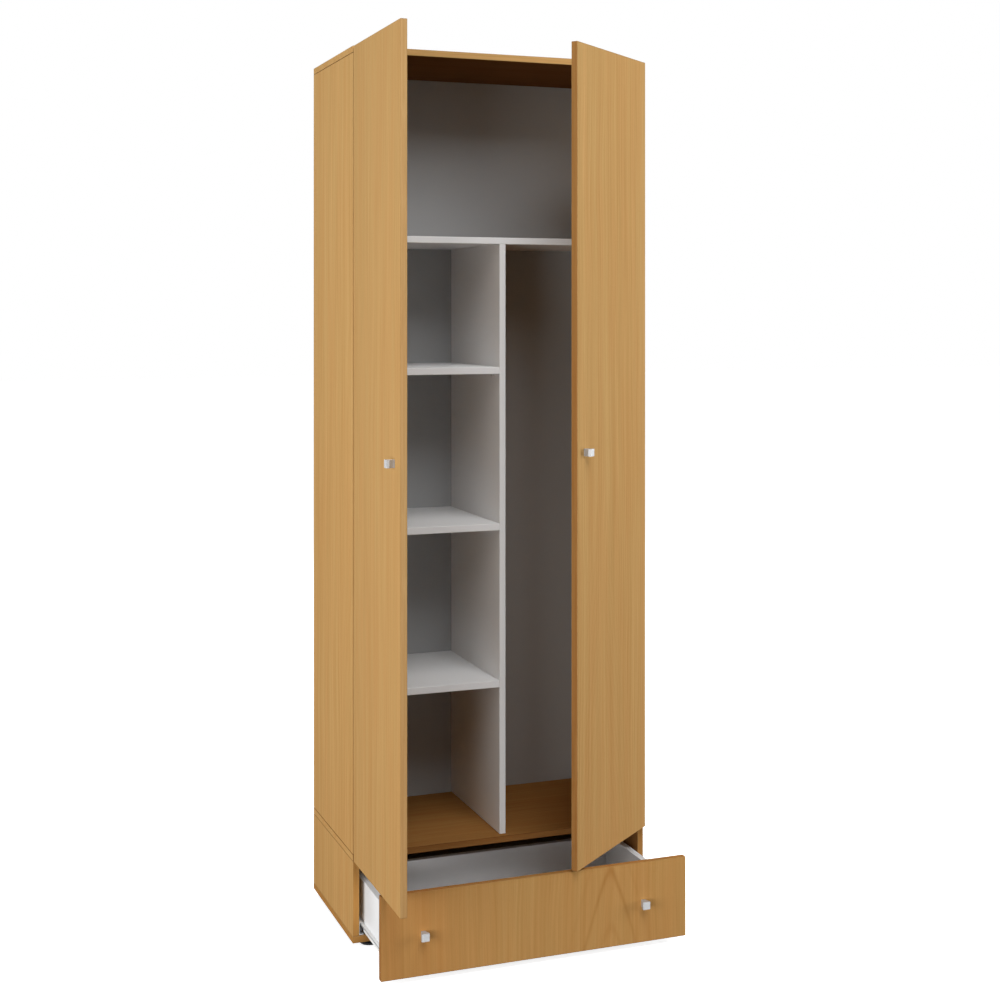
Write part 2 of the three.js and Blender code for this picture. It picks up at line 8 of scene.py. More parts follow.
import bmesh
import bpy
from mathutils import Euler, Matrix, Vector


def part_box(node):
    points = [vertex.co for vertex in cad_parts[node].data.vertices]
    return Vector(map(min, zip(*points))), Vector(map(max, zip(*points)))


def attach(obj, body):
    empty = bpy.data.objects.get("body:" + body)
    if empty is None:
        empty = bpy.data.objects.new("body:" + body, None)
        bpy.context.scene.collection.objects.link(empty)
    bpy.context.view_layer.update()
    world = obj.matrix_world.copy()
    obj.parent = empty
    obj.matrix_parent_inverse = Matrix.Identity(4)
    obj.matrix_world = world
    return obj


MM = 0.001

# Photo camera: level, with its picture shifted down
camera_place = (-926.6, -3403.1, 1399.2)
camera_turn = 20.53
camera_lens = 57.135
camera_sensor = 36
camera_shift = -0.18853

# Studio
floor_reach = 30000
floor_drop = 0.5
floor_grey = (0.9, 0.9, 0.9)
floor_bounce = (0.06, 0.06, 0.06)
floor_roughness = 0.9
floor_glow_near = 0.80
floor_glow_reach = (1200, 3600)
studio_white = (1, 1, 1)
world_fill = 0.03
lamp_aim = (355, 0, 1100)
lamps = {
    "left_light": {"place": (-3420, -1320, 1300), "size": (2600, 2600), "power": 120},
    "right_light": {"place": (4130, -1320, 1300), "size": (1700, 2600), "power": 98},
    "high_light": {"place": (200, -2900, 4600), "size": (2600, 3600), "power": 156},
    "low_light": {"place": (-2400, -3120, 400), "size": (1500, 1000), "power": 52},
    "back_light": {"place": (355, 3500, 3600), "size": (3000, 2000), "power": 230},
}

# Colours, linear. A tint is multiplied into a colour.
no_tint = (1.0, 1.0, 1.0)
beech_pale = (0.610, 0.385, 0.156)
beech_tan = (0.505, 0.290, 0.102)
beech_brown = (0.350, 0.155, 0.042)
arch_orange = (0.380, 0.180, 0.050)
arris_brown = (0.20, 0.11, 0.04)
# Painted shade towards the floor, multiplied into the beech
foot_shade_tint = (0.98, 0.935, 0.89)
blush_tint = (1.005, 0.955, 0.935)
board_white = (0.83, 0.845, 0.86)
# Painted shade: the backs' white face dimmed to a grey, as the inside of the cupboard lies in shade
dimmed_back_white = (0.36, 0.37, 0.38)
raw_fibreboard = (0.215, 0.120, 0.062)
rail_white = (0.84, 0.84, 0.83)
rail_shade = (0.10, 0.11, 0.12)
satin_grey = (0.46, 0.47, 0.48)

# Noises: waves per metre along each axis, detail and roughness
fibre_waves = ((820, 820, 9), 2, 0.6)
streak_waves = ((215, 215, 1.7), 2, 0.6)
band_waves = ((26, 26, 0.45), 2, 0.5)
fleck_waves = ((1500, 1500, 95), 1, 0.5)
blush_waves = ((34, 34, 2.6), 2, 0.5)
sway_waves = ((14, 14, 3.5), 2, 0.5)
wander_waves = ((7, 7, 3.2), 1, 0.5)
brush_waves = ((120, 120, 3500), 2, 0.5)
mottle_waves = ((260, 260, 260), 4, 0.65)
coat_waves = ((600, 600, 600), 2, 0.5)
fine_coat_waves = ((900, 900, 900), 2, 0.5)
noise_middle = 0.5
noise_ends = (0.3, 0.7)

# Beech figure. Tones and shares are pairs of a noise's value, or a share of a length, and what it gives.
# Seed steps are the pattern's shift from one board to the next.
seed_steps = (1370, 610, 430)
streak_share = 0.78
band_share = 0.30
figure_middle = 0.54
figure_spread = 0.19
fibre_tones = ((0.25, 0.94), (0.75, 1.05))
fleck_shares = ((0.66, 0.0), (0.74, 1.0))
fleck_strength = 0.22
blush_tones = ((0.36, blush_tint), (0.64, no_tint))
# Painted shade: the foot tint at the floor, fading out by nine tenths of the carcass height
foot_shade_tones = ((0.0, foot_shade_tint), (0.9, no_tint))
drawer_tones = ((0.05, (0.89, 0.83, 0.79)), (0.45, (0.92, 0.94, 0.96)), (0.80, no_tint))
beech_roughness = 0.55
fibre_bump = 0.1
fibre_height = 0.1

# Arches of the beech figure. A pair gives their spacing across and along the grain.
wide_arches = (30, 127)
drawer_arches = (40, 127)
fine_arches = (16, 66)
arch_blunt = 10
arch_sway = 20
arch_sharpness = 9
grain_wander = 24

# Edge bands, whose tint is painted shade, the thin lines along arrises, the rails' painted shadow lines,
# and the depth to which the colour of one face reaches
edge_shade_start = 1.2
arris_width = 1.8
arris_strength = 0.62
rail_shadow_width = 2.2
rail_shadow_strength = 0.9
film = 0.3

# The other finishes
rail_coat_dip = 0.97
rail_roughness = 0.4
satin_dip = 0.9
satin_roughness = (0.45, 0.58)
satin_metallic = 0.5
mottle_dip = 0.8
fibreboard_roughness = 0.6

# Screws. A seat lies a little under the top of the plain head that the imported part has.
screw_profile = ((3.55, -0.6), (3.55, 0.45), (2.9, 0.95), (1.9, 1.15))
screw_sides = 20
head_sink = 0.5
cross_length = 3.4
cross_width = 0.7
cross_foot = 0.9
cross_top = 1.2
ear_offset = 5.5
ear_reach = 26
plate_screw_line = 37
plate_wing_reach = 24
plate_top = 3.6
arm_tops = {"left": 13.6, "right": 16.1}
arm_screw_lines = (22, 46)

# Shelf pins, back nails and cam covers. Profiles run from foot to top, as (radius, height).
pin_radius = 2.5
pin_profile = ((pin_radius, 0), (pin_radius, 7.5), (2.0, 8))
pin_sides = 20
pin_rows = (50, 320)
nail_profile = ((1.6, -0.1), (1.6, 0.35))
nail_sides = 10
nail_spacing = 150
nail_inset = 9
nail_from_seam = 4
cam_profile = ((8.5, 0.05), (8.5, 0.48), (7.8, 0.8))
cam_sides = 28
cam_from_end = 34
cam_rows = (60, 300)

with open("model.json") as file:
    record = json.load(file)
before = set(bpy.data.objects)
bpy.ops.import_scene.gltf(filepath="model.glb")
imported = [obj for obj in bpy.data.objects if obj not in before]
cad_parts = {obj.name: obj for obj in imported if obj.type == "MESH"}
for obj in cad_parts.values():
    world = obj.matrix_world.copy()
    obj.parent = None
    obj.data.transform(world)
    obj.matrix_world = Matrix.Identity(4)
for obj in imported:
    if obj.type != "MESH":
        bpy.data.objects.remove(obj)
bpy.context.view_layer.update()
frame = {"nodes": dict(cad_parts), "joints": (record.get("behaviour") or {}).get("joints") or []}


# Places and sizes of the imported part

origin = Vector((
    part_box("upper_left_side")[0].x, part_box("upper_left_side")[0].y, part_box("bottom_panel")[0].z))


def place(x, y, z):
    """A place on the carcass, in the frame's metres."""
    return origin + Vector((x, y, z)) * MM


def measured(name):
    """The lowest and highest corners of a node at rest, in millimetres on the carcass."""
    low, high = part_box(name)
    return (low - origin) / MM, (high - origin) / MM


def moved_box(name, move):
    """The lowest and highest corners of a node once a matrix has moved its points."""
    axes = list(zip(*(move @ vertex.co for vertex in frame["nodes"][name].data.vertices)))
    return Vector([min(values) for values in axes]), Vector([max(values) for values in axes])


def middle(corners):
    low, high = corners
    return (low + high) / 2


cupboard_width = measured("bottom_panel")[1].x
board_thickness = measured("bottom_panel")[1].z
carcass_height = measured("top_panel")[1].z
middle_panel_underside = measured("middle_panel")[0].z
divider_left = measured("centre_divider")[0].x
back_rear = measured("upper_back_panel")[1].y
side_faces = {"left": (board_thickness, (1, 0, 0)), "right": (cupboard_width - board_thickness, (-1, 0, 0))}
hinge_rows = ("bottom", "middle", "top")
joints = {joint["name"]: joint for joint in frame["joints"]}

# How far each door stands turned at rest, from shut, which is the one end of its hinge's range
door_turns = {
    "left": -joints["left_door_hinge"]["range_deg"][1],
    "right": -joints["right_door_hinge"]["range_deg"][0],
}


# Shader helpers

class Graph:
    """The node tree of a material or a world, with short names for what is built in it."""

    # The colour mix node's sockets by number: its share and its two colours, and what comes out
    mix_inputs = (0, 6, 7)
    mix_result = 2

    def __init__(self, owner):
        owner.use_nodes = True
        self.nodes = owner.node_tree.nodes
        self.links = owner.node_tree.links

    def put(self, target, inputs):
        """Puts values or other nodes' outputs on a node's inputs, which are given by name or number."""
        for key, value in inputs.items():
            socket = target.inputs[key]
            if isinstance(value, bpy.types.NodeSocket):
                self.links.new(value, socket)
            elif socket.type == "RGBA":
                socket.default_value = (*value, 1)
            else:
                socket.default_value = value

    def add(self, kind, inputs=None, **settings):
        made = self.nodes.new(f"ShaderNode{kind}")
        for key, value in settings.items():
            setattr(made, key, value)
        self.put(made, inputs or {})
        return made

    def maths(self, operation, *values):
        return self.add("Math", dict(enumerate(values)), operation=operation).outputs[0]

    def plus(self, first, second):
        return self.maths("ADD", first, second)

    def minus(self, first, second):
        return self.maths("SUBTRACT", first, second)

    def times(self, first, second):
        return self.maths("MULTIPLY", first, second)

    def over(self, first, second):
        return self.maths("DIVIDE", first, second)

    def least(self, first, second):
        return self.maths("MINIMUM", first, second)

    def most(self, first, second):
        return self.maths("MAXIMUM", first, second)

    def falling(self, distance, width):
        """One at no distance, falling evenly to nothing at width."""
        return self.minus(1, self.least(self.over(distance, width), 1))

    def vector_maths(self, operation, *values):
        return self.add("VectorMath", dict(enumerate(values)), operation=operation).outputs[0]

    def in_millimetres(self, vector):
        return self.vector_maths("DIVIDE", vector, (MM, MM, MM))

    def parts(self, vector):
        """A vector's three parts."""
        return tuple(self.add("SeparateXYZ", {0: vector}).outputs)

    def mapped(self, vector, turn=(0, 0, 0), shift=(0, 0, 0)):
        """A vector in metres, turned by degrees about each axis and then shifted by millimetres."""
        inputs = {
            "Vector": vector,
            "Rotation": [math.radians(angle) for angle in turn],
            "Location": [step * MM for step in shift],
        }
        return self.add("Mapping", inputs, vector_type="POINT").outputs[0]

    def noise(self, vector, waves):
        """Noise over a vector in metres. Waves are as in the list of noises above."""
        stretch, detail, roughness = waves
        stretched = self.vector_maths("MULTIPLY", vector, stretch)
        inputs = {"Vector": stretched, "Scale": 1, "Detail": detail, "Roughness": roughness}
        return self.add("TexNoise", inputs, noise_dimensions="3D").outputs[0]

    def swaying(self, vector, waves, reach):
        """A value that wanders about nothing as a noise does, within about half of reach."""
        return self.times(self.minus(self.noise(vector, waves), noise_middle), reach)

    def ramp(self, value, tones):
        """Tones or colours at the given values, and blends between them."""
        made = self.add("ValToRGB", {0: value})
        elements = made.color_ramp.elements
        while len(elements) < len(tones):
            elements.new(0.5)
        for element, (at, tone) in zip(elements, tones):
            element.position = at
            element.color = (*tone, 1) if isinstance(tone, tuple) else (tone, tone, tone, 1)
        return made.outputs[0]

    def between(self, noise, low, high):
        """From low to high over the middle part of a noise."""
        return self.ramp(noise, tuple(zip(noise_ends, (low, high))))

    def mix(self, share, first, second, blend="MIX"):
        inputs = dict(zip(self.mix_inputs, (share, first, second)))
        return self.add("Mix", inputs, data_type="RGBA", blend_type=blend).outputs[self.mix_result]

    def tinted(self, colour, tint):
        return self.mix(1.0, colour, tint, "MULTIPLY")


class Finish(Graph):
    """A new material's graph, with its shader and the point of the surface in its object's metres."""

    def __init__(self, name):
        self.material = bpy.data.materials.new(name)
        super().__init__(self.material)
        self.shader = self.nodes["Principled BSDF"]
        self.point = self.add("TexCoord").outputs["Object"]


def dimmed(colour, share):
    return tuple(share * value for value in colour)


def insets(finish, vector, box):
    """How far a point lies inside the box's sides, as one value for each axis."""
    low, high = box
    off_middle = finish.vector_maths("ABSOLUTE", finish.vector_maths("SUBTRACT", vector, middle(box)))
    return finish.parts(finish.vector_maths("SUBTRACT", (high - low) / 2, off_middle))


def arris_share(finish, inside, width):
    """One on a box's arrises, falling to nothing at width from them. The middle one of the insets tells."""
    first, second, third = inside
    smaller = finish.least(first, second)
    larger = finish.most(first, second)
    return finish.falling(finish.most(smaller, finish.least(larger, third)), width)


# Beech-pattern foil, layer by layer

def wandering(finish, vector):
    """The vector shifted slowly to and fro along its first axis, so that the grain isn't dead straight."""
    aside = finish.add("CombineXYZ", {0: finish.swaying(vector, wander_waves, grain_wander * MM)})
    return finish.vector_maths("ADD", vector, aside.outputs[0])


def ground(finish, grain, calm):
    """Tan and pale wood in streaks and broad bands. The calmer the board, the less they differ."""
    streaks = finish.times(finish.noise(grain, streak_waves), streak_share)
    bands = finish.times(finish.noise(grain, band_waves), band_share)
    spread = figure_spread * (1 + calm)
    tones = ((figure_middle - spread, beech_tan), (figure_middle + spread, beech_pale))
    return finish.ramp(finish.plus(streaks, bands), tones)


def arch_lines(finish, upright, shifted, centre, spacing, reach, nested, bare_middle=0):
    """Nested arches of a flat-sawn board, opening downwards from their centre (across, along).

    They fade out at reach from the middle line, within bare_middle of it, and over the nested arches on
    either side of the main one.
    """
    x, _, z = finish.parts(finish.in_millimetres(upright))
    across = finish.plus(finish.minus(x, centre[0]), finish.swaying(shifted, sway_waves, arch_sway))
    along = finish.minus(z, centre[1])
    blunted = finish.maths("SQRT", finish.plus(finish.times(across, across), arch_blunt ** 2))
    count = finish.plus(finish.over(blunted, spacing[0]), finish.over(along, spacing[1]))
    rings = finish.maths("COSINE", finish.times(count, math.tau))
    lines = finish.maths("POWER", finish.plus(finish.times(rings, 0.5), 0.5), arch_sharpness)
    off_middle = finish.maths("ABSOLUTE", across)
    fade = finish.falling(off_middle, reach)
    if bare_middle:
        fade = finish.times(fade, finish.least(finish.over(off_middle, bare_middle), 1))
    near_main = finish.falling(finish.maths("ABSOLUTE", count), nested)
    return finish.times(finish.times(lines, fade), near_main)


def arched(finish, colour, upright, shifted, strength, **form):
    lines = arch_lines(finish, upright, shifted, **form)
    return finish.mix(finish.times(lines, strength), colour, arch_orange)


def flecked(finish, colour, shifted):
    """Short dark flecks along the grain."""
    flecks = finish.ramp(finish.noise(shifted, fleck_waves), fleck_shares)
    return finish.mix(finish.times(flecks, fleck_strength), colour, beech_brown)


def shaded_towards_floor(finish, colour):
    """Painted shade: boards grow a little darker and more orange towards the floor, where less light
    reaches.
    """
    height = finish.over(finish.parts(finish.point)[2], carcass_height * MM)
    return finish.tinted(colour, finish.ramp(height, foot_shade_tones))


def shaded_faces_and_edges(finish, colour, inside, box, face_shade_tint, edge_shade_tint):
    """Painted shade: one tint for the board's two faces, and one for its edges, darkening those that lie in
    shade.
    """
    spans = list(box[1] - box[0])
    across_board = inside[spans.index(min(spans))]
    on_edge = finish.maths("GREATER_THAN", across_board, edge_shade_start * MM)
    return finish.tinted(colour, finish.mix(on_edge, face_shade_tint, edge_shade_tint))


def outlined(finish, colour, inside):
    """Thin dark lines along the board's arrises."""
    lines = finish.times(arris_share(finish, inside, arris_width * MM), arris_strength)
    return finish.mix(lines, colour, arris_brown)


def toned_along(finish, colour, upright, box, tones):
    """Tints at shares of the way along the box's first axis."""
    low, high = box
    past_end = finish.minus(finish.parts(upright)[0], low.x)
    return finish.tinted(colour, finish.ramp(finish.over(past_end, high.x - low.x), tones))


def shaded_low_face(finish, colour, name, axis, tint):
    """Painted shade: a darker tint for the one face of a node at the low end of an axis, as that face lies
    in shade.
    """
    low_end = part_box(name)[0][axis] + film * MM
    on_face = finish.maths("LESS_THAN", finish.parts(finish.point)[axis], low_end)
    return finish.mix(on_face, colour, finish.tinted(colour, tint))


def relief(finish, fibres):
    inputs = {"Strength": fibre_bump, "Distance": fibre_height * MM, "Height": fibres}
    return finish.add("Bump", inputs).outputs[0]


def beech(name, turn, seed, arches, calm=0.0, face_shade_tint=no_tint, edge_shade_tint=no_tint, end_tones=None,
          low_face_shade=None):
    """Beech-pattern foil: fine fibres, soft bands, faint arches and small flecks, with painted shade
    towards the floor and on faces and edges that lie in shade.

    The turn brings the board's grain upright. end_tones gives tints at shares of the way from the
    board's left end to its right. The face and edge tints, and the axis and tint given for the face at a
    low end, are painted shade.
    """
    finish = Finish(f"beech_{name}")
    upright = finish.mapped(finish.point, turn)
    shifted = finish.mapped(upright, shift=[seed * step for step in seed_steps])
    grain = wandering(finish, shifted)
    fibres = finish.noise(grain, fibre_waves)
    box = moved_box(name, Euler([math.radians(angle) for angle in turn]).to_matrix())
    inside = insets(finish, upright, box)

    colour = ground(finish, grain, calm)
    colour = arched(finish, colour, upright, shifted, **arches)
    colour = finish.tinted(colour, finish.ramp(fibres, fibre_tones))
    colour = flecked(finish, colour, shifted)
    colour = finish.tinted(colour, finish.ramp(finish.noise(shifted, blush_waves), blush_tones))
    colour = shaded_towards_floor(finish, colour)
    colour = shaded_faces_and_edges(finish, colour, inside, box, face_shade_tint, edge_shade_tint)
    colour = outlined(finish, colour, inside)
    if end_tones:
        colour = toned_along(finish, colour, upright, box, end_tones)
    if low_face_shade:
        colour = shaded_low_face(finish, colour, name, *low_face_shade)
    finish.put(finish.shader, {
        "Base Color": colour,
        "Roughness": beech_roughness,
        "Specular IOR Level": 0,
        "Normal": relief(finish, fibres),
    })
    return finish.material


# The other finishes

def plain(name, colour, roughness, metallic=0.0, specular=0.5, grain=0.0, waves=coat_waves):
    """An even finish whose tone dips a little, by grain, in fine spots."""
    finish = Finish(name)
    shade = finish.between(finish.noise(finish.point, waves), 1 - grain, 1.0)
    finish.put(finish.shader, {
        "Base Color": finish.tinted(colour, shade),
        "Roughness": roughness,
        "Metallic": metallic,
        "Specular IOR Level": specular,
    })
    return finish.material


def satin_metal():
    """Satin metal with fine lines along one direction."""
    finish = Finish("satin_metal")
    lines = finish.noise(finish.point, brush_waves)
    finish.put(finish.shader, {
        "Base Color": finish.between(lines, dimmed(satin_grey, satin_dip), satin_grey),
        "Roughness": finish.between(lines, *satin_roughness),
        "Metallic": satin_metallic,
    })
    return finish.material


def rail_steel(name):
    """White-coated steel with a painted shadow line along its arrises, for the shadow gap where it meets
    the drawer side.
    """
    finish = Finish(f"rail_{name}")
    inside = insets(finish, finish.point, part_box(name))
    line = finish.times(arris_share(finish, inside, rail_shadow_width * MM), rail_shadow_strength)
    coat = finish.noise(finish.point, coat_waves)
    white = finish.between(coat, dimmed(rail_white, rail_coat_dip), rail_white)
    finish.put(finish.shader, {
        "Base Color": finish.mix(line, white, rail_shade),
        "Roughness": rail_roughness,
    })
    return finish.material


def faced_fibreboard(name, axis, white_face, raw_way):
    """Thin fibreboard, white on one face and raw brown behind it. The white is dimmed to a grey as painted
    shade.

    white_face is that face's place on the axis, in metres. The raw side lies the way of raw_way, 1 or -1.
    """
    finish = Finish(name)
    past_face = finish.minus(finish.parts(finish.point)[axis], white_face)
    raw = finish.maths("GREATER_THAN", finish.times(past_face, raw_way), film * MM)
    mottle = finish.noise(finish.point, mottle_waves)
    brown = finish.between(mottle, dimmed(raw_fibreboard, mottle_dip), raw_fibreboard)
    finish.put(finish.shader, {
        "Base Color": finish.mix(raw, dimmed_back_white, brown),
        "Roughness": fibreboard_roughness,
    })
    return finish.material


# Finishes by node. Each turn brings a board's grain to Z and its face to X and Z.
facing_front = (0, 0, 0)
facing_side = (0, 0, 90)
lying = (0, 90, 0)
panel_arches = {"strength": 0.08, "centre": (0, 600), "spacing": wide_arches, "reach": 250, "nested": 12}
side_arches = {**panel_arches, "strength": 0.10}
right_door_arches = {"strength": 0.24, "centre": (40, 740), "spacing": fine_arches, "reach": 220,
                     "nested": 9, "bare_middle": 45}
drawer_front_arches = {"strength": 0.5, "centre": (178, 215), "spacing": drawer_arches, "reach": 140,
                       "nested": 1.7}
# The face, edge and low-face tints below are painted shade: the floor of the upper space, the top's
# underside, the lower right side's inner face, and edges that lie in shade. The drawer front's face tint is
# partly its own warmer tone and partly painted shade.
beech_boards = {
    "upper_left_side": {"turn": facing_side, "seed": 1, "arches": side_arches},
    "lower_left_side": {"turn": facing_side, "seed": 2, "arches": side_arches,
                        "edge_shade_tint": (0.85, 0.72, 0.55)},
    "upper_right_side": {"turn": facing_side, "seed": 3, "arches": side_arches},
    "lower_right_side": {"turn": facing_side, "seed": 4, "arches": side_arches,
                         "edge_shade_tint": (0.85, 0.74, 0.62), "low_face_shade": (0, (0.52, 0.42, 0.36))},
    "top_panel": {"turn": lying, "seed": 5, "arches": panel_arches, "low_face_shade": (2, (0.24, 0.17, 0.16))},
    "middle_panel": {"turn": lying, "seed": 6, "arches": panel_arches,
                     "face_shade_tint": (0.56, 0.46, 0.37), "low_face_shade": (1, (0.52, 0.40, 0.32))},
    "bottom_panel": {"turn": lying, "seed": 7, "arches": panel_arches, "edge_shade_tint": (0.80, 0.68, 0.52)},
    "left_door": {"turn": (0, 0, -door_turns["left"]), "seed": 8, "arches": panel_arches, "calm": 0.3,
                  "face_shade_tint": (0.93, 0.94, 0.96), "edge_shade_tint": (0.85, 0.87, 0.95)},
    "right_door": {"turn": (0, 0, -door_turns["right"]), "seed": 9, "arches": right_door_arches,
                   "edge_shade_tint": (0.56, 0.45, 0.355)},
    "drawer_front": {"turn": facing_front, "seed": 10, "arches": drawer_front_arches, "calm": 0.5,
                     "face_shade_tint": (0.955, 0.90, 0.82), "edge_shade_tint": (0.68, 0.58, 0.49),
                     "end_tones": drawer_tones},
}
plain_finishes = {
    "white_board": {"colour": board_white, "roughness": 0.42, "specular": 0.4, "grain": 0.03,
                    "waves": fine_coat_waves},
    "hinge_steel": {"colour": (0.56, 0.555, 0.55), "roughness": 0.34, "metallic": 0.9, "grain": 0.12},
    "runner_steel": {"colour": rail_white, "roughness": 0.35, "grain": 0.03},
    "wheel_plastic": {"colour": (0.05, 0.05, 0.053), "roughness": 0.45, "grain": 0.15},
    "glide_plastic": {"colour": (0.004, 0.004, 0.005), "roughness": 0.5, "specular": 0.2, "grain": 0.2},
    "cam_plastic": {"colour": (0.66, 0.50, 0.30), "roughness": 0.5, "grain": 0.03},
    # Painted shade: near-black for the screws' cross recesses
    "recess_shade": {"colour": (0.03, 0.03, 0.03), "roughness": 0.6},
}
finishes = {name: plain(name, **values) for name, values in plain_finishes.items()}

# The first of these words that a node's name has gives its finish
finish_by_word = {
    "knob": satin_metal(),
    "cabinet_rail": finishes["runner_steel"],
    "runner_wheel": finishes["wheel_plastic"],
    "glide": finishes["glide_plastic"],
    "hinge": finishes["hinge_steel"],
    "back_panel": faced_fibreboard("back_board", 1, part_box("upper_back_panel")[0].y, 1),
    "drawer_bottom": faced_fibreboard("drawer_bottom_board", 2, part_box("drawer_bottom")[1].z, -1),
    "drawer": finishes["white_board"],
    "shelf": finishes["white_board"],
    "divider": finishes["white_board"],
}


def finish_for(name):
    if name in beech_boards:
        return beech(name, **beech_boards[name])
    if name.endswith("drawer_rail"):
        return rail_steel(name)
    for word, finish in finish_by_word.items():
        if word in name:
            return finish
    raise ValueError(f"no finish for {name}")


for name, piece in frame["nodes"].items():
    piece.data.materials.clear()
    piece.data.materials.append(finish_for(name))


# Small fasteners: each kind on a body is one mesh, with one shape at each of its seats

def point_ring(mesh, seat, points, height):
    return [mesh.verts.new(seat @ (Vector((x, y, height)) * MM)) for x, y in points]


def closed_body(mesh, rings):
    """Walls between the rings of points, with a flat foot and a flat top."""
    for low, high in zip(rings, rings[1:]):
        for i in range(len(low)):
            after = (i + 1) % len(low)
            mesh.faces.new((low[i], low[after], high[after], high[i]))
    mesh.faces.new(list(reversed(rings[0])))
    mesh.faces.new(rings[-1])


def turned_body(mesh, seat, profile, sides):
    """A body of revolution about the seat's Z."""
    angles = [math.tau * i / sides for i in range(sides)]
    closed_body(mesh, [
        point_ring(mesh, seat, [(radius * math.cos(a), radius * math.sin(a)) for a in angles], height)
        for radius, height in profile])


def bar(mesh, seat, length, width, foot, top):
    x, y = length / 2, width / 2
    corners = [(-x, -y), (x, -y), (x, y), (-x, y)]
    closed_body(mesh, [point_ring(mesh, seat, corners, height) for height in (foot, top)])


def screw_head(mesh, seat):
    turned_body(mesh, seat, screw_profile, screw_sides)


def screw_cross(mesh, seat):
    """Painted shade: the cross recess of a screw head, drawn as a dark cross just proud of it."""
    for turn in (0, math.pi / 2):
        turned = seat @ Matrix.Rotation(turn, 4, "Z")
        bar(mesh, turned, cross_length, cross_width, cross_foot, cross_top)


def shelf_pin(mesh, seat):
    turned_body(mesh, seat, pin_profile, pin_sides)


def nail_head(mesh, seat):
    turned_body(mesh, seat, nail_profile, nail_sides)


def cam_cover(mesh, seat):
    turned_body(mesh, seat, cam_profile, cam_sides)


def facing(point, direction):
    """A seat: a matrix at the point, whose Z looks along the direction."""
    return Matrix.Translation(point) @ Vector(direction).to_track_quat("Z", "Y").to_matrix().to_4x4()


def fasteners(name, body, material, shape, seats):
    """One mesh that rides on a body, with the shape drawn at each seat."""
    mesh = bmesh.new()
    for seat in seats:
        shape(mesh, seat)
    bmesh.ops.recalc_face_normals(mesh, faces=mesh.faces)
    data = bpy.data.meshes.new(name)
    mesh.to_mesh(data)
    mesh.free()
    data.materials.append(material)
    piece = bpy.data.objects.new(name, data)
    bpy.context.scene.collection.objects.link(piece)
    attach(piece, body)


def door_frame(side):
    """A door's own frame, in millimetres: X from the hinge axis to the free edge, Y inwards, Z up."""
    x, y, _ = joints[f"{side}_door_hinge"]["pos_m"]
    turn = Matrix.Rotation(math.radians(door_turns[side]), 4, "Z")
    towards_free_edge = MM if side == "left" else -MM
    return Matrix.Translation((x, y, origin.z)) @ turn @ Matrix.Diagonal((towards_free_edge, MM, MM, 1))


def door_seats(side):
    """The seats of a door's screws: two in each hinge cup's ears, and the knob's."""
    door = door_frame(side)
    to_door = door.inverted()
    cups = [moved_box(f"hinge_cup_{side}_{row}", to_door) for row in hinge_rows]
    points = [(middle(cup).x + ear_offset, cup[1].y - head_sink, middle(cup).z + rise)
              for cup in cups for rise in (-ear_reach, ear_reach)]
    knob = middle(moved_box(f"{side}_door_knob", to_door))
    inner_face = moved_box(f"{side}_door", to_door)[1].y
    points.append((knob.x, inner_face, knob.z))
    inward = (door.to_3x3() @ Vector((0, 1, 0))).normalized()
    return [facing(door @ Vector(point), inward) for point in points]


def arm_seats(side):
    """The seats of the screws of one side's mounting plates and hinge arms."""
    face, inward = side_faces[side]
    heights = [middle(measured(f"hinge_arm_{side}_{row}")).z for row in hinge_rows]
    plates = [(plate_top, plate_screw_line, height + rise)
              for height in heights for rise in (-plate_wing_reach, plate_wing_reach)]
    arms = [(arm_tops[side], y, height) for height in heights for y in arm_screw_lines]
    return [facing(place(face + inward[0] * (reach - head_sink), y, z), inward)
            for reach, y, z in plates + arms]


def drawer_seats():
    """The seats of the drawer knobs' screws, on the inner face of the drawer's front."""
    inner_face = measured("drawer_front")[1].y
    knobs = [middle(measured(name)) for name in ("drawer_left_knob", "drawer_right_knob")]
    return [facing(place(knob.x, inner_face, knob.z), (0, 1, 0)) for knob in knobs]


def pin_seats():
    """A pin under each corner of the three shelves, out of the side board and out of the divider."""
    walls = (side_faces["left"], (divider_left, (-1, 0, 0)))
    for shelf in ("low_shelf", "mid_shelf", "high_shelf"):
        height = measured(shelf)[0].z - pin_radius
        for y in pin_rows:
            for x, direction in walls:
                yield facing(place(x, y, height), direction)


def nail_places():
    """Where the backs' nails stand, as (x, z): in four rows, and up both long edges of the upper back."""
    left, right = nail_inset, cupboard_width - nail_inset
    seam = middle_panel_underside + board_thickness / 2
    rows = (nail_inset, seam - nail_from_seam, seam + nail_from_seam, carcass_height - nail_inset)
    steps = round((right - left) / nail_spacing)
    for z in rows:
        for i in range(steps + 1):
            yield left + (right - left) * i / steps, z
    rise = carcass_height - middle_panel_underside
    steps = round(rise / nail_spacing)
    for x in (left, right):
        for i in range(1, steps):
            yield x, middle_panel_underside + rise * i / steps


def cam_seats():
    """Cam covers inside the side boards, near each joint with a panel, front and rear."""
    heights = (middle_panel_underside + board_thickness + cam_from_end,
               carcass_height - board_thickness - cam_from_end,
               middle_panel_underside - cam_from_end)
    for x, direction in side_faces.values():
        for y in cam_rows:
            for z in heights:
                yield facing(place(x, y, z), direction)


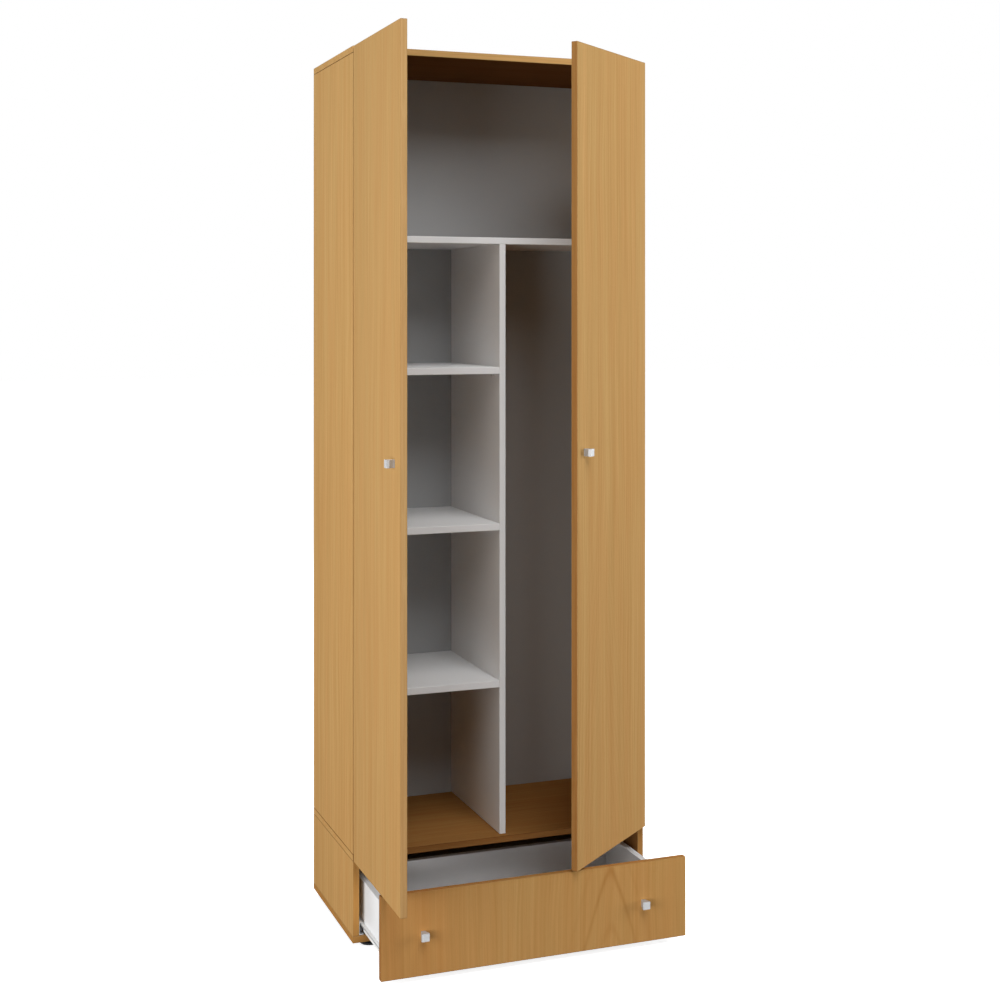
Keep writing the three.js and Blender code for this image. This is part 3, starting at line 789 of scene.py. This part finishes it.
screw_seats = {
    "left_door": door_seats("left"),
    "right_door": door_seats("right"),
    "carcass": arm_seats("left") + arm_seats("right"),
    "drawer": drawer_seats(),
}
steel = finishes["hinge_steel"]
for body, seats in screw_seats.items():
    fasteners(f"screw_heads_{body}", body, steel, screw_head, seats)
    fasteners(f"screw_recess_shades_{body}", body, finishes["recess_shade"], screw_cross, seats)
nail_seats = [facing(place(x, back_rear, z), (0, 1, 0)) for x, z in nail_places()]
fasteners("shelf_pins", "carcass", steel, shelf_pin, pin_seats())
fasteners("back_nails", "carcass", steel, nail_head, nail_seats)
fasteners("cam_covers", "carcass", finishes["cam_plastic"], cam_cover, cam_seats())


# Studio: the floor and the world are white to the camera and in reflections, and dim as sources of light

def seen_directly(graph):
    """One where the camera, a reflection or a view through something looks at the surface."""
    path = graph.add("LightPath").outputs
    either = graph.most(path["Is Camera Ray"], path["Is Glossy Ray"])
    return graph.most(either, path["Is Transmission Ray"])


def shown_or_lighting(graph, shown, lighting, output):
    """Shows one shader to whoever looks, and lights the scene with another."""
    either = graph.add("MixShader", {0: seen_directly(graph), 1: lighting, 2: shown})
    graph.put(graph.nodes[output], {"Surface": either.outputs[0]})


def floor_glow(finish):
    """Fuller far from the cupboard, so that the floor keeps a soft shadow but ends in plain white."""
    distance = finish.add("VectorMath", {0: finish.point}, operation="LENGTH").outputs["Value"]
    near, far = (value * MM for value in floor_glow_reach)
    inputs = {"Value": distance, "From Min": near, "From Max": far, "To Min": floor_glow_near}
    strength = finish.add("MapRange", inputs).outputs["Result"]
    return finish.add("Emission", {"Color": studio_white, "Strength": strength}).outputs[0]


def floor_material():
    finish = Finish("studio_floor")
    finish.put(finish.shader, {
        "Base Color": floor_bounce,
        "Roughness": floor_roughness,
        "Specular IOR Level": 0,
    })
    pale = finish.add("BsdfDiffuse", {"Color": floor_grey}).outputs[0]
    shown = finish.add("AddShader", {0: pale, 1: floor_glow(finish)}).outputs[0]
    shown_or_lighting(finish, shown, finish.shader.outputs[0], "Material Output")
    return finish.material


def set_floor():
    bpy.ops.mesh.primitive_plane_add(size=2 * floor_reach * MM, location=(0, 0, -floor_drop * MM))
    floor = bpy.context.object
    floor.name = "studio_floor"
    floor.data.materials.append(floor_material())


def set_world():
    world = bpy.data.worlds.new("studio_world")
    bpy.context.scene.world = world
    graph = Graph(world)
    fill = graph.nodes["Background"]
    graph.put(fill, {"Color": studio_white, "Strength": world_fill})
    white = graph.add("Background", {"Color": studio_white})
    shown_or_lighting(graph, white.outputs[0], fill.outputs[0], "World Output")


def set_lamp(name, spec):
    data = bpy.data.lights.new(name, "AREA")
    data.shape = "RECTANGLE"
    data.size, data.size_y = (value * MM for value in spec["size"])
    data.energy = spec["power"]
    lamp = bpy.data.objects.new(name, data)
    lamp.location = place(*spec["place"])
    aim = place(*lamp_aim) - lamp.location
    lamp.rotation_euler = aim.to_track_quat("-Z", "Y").to_euler()
    bpy.context.scene.collection.objects.link(lamp)


def set_camera():
    data = bpy.data.cameras.new("photo_camera")
    data.sensor_width = camera_sensor
    data.lens = camera_lens
    data.shift_y = camera_shift
    data.clip_end = 2 * floor_reach * MM
    camera = bpy.data.objects.new("photo_camera", data)
    camera.location = place(*camera_place)
    camera.rotation_euler = (math.radians(90), 0, math.radians(-camera_turn))
    bpy.context.scene.collection.objects.link(camera)
    bpy.context.scene.camera = camera


set_floor()
set_world()
for name, spec in lamps.items():
    set_lamp(name, spec)
set_camera()
bpy.context.scene.view_settings.view_transform = "Standard"
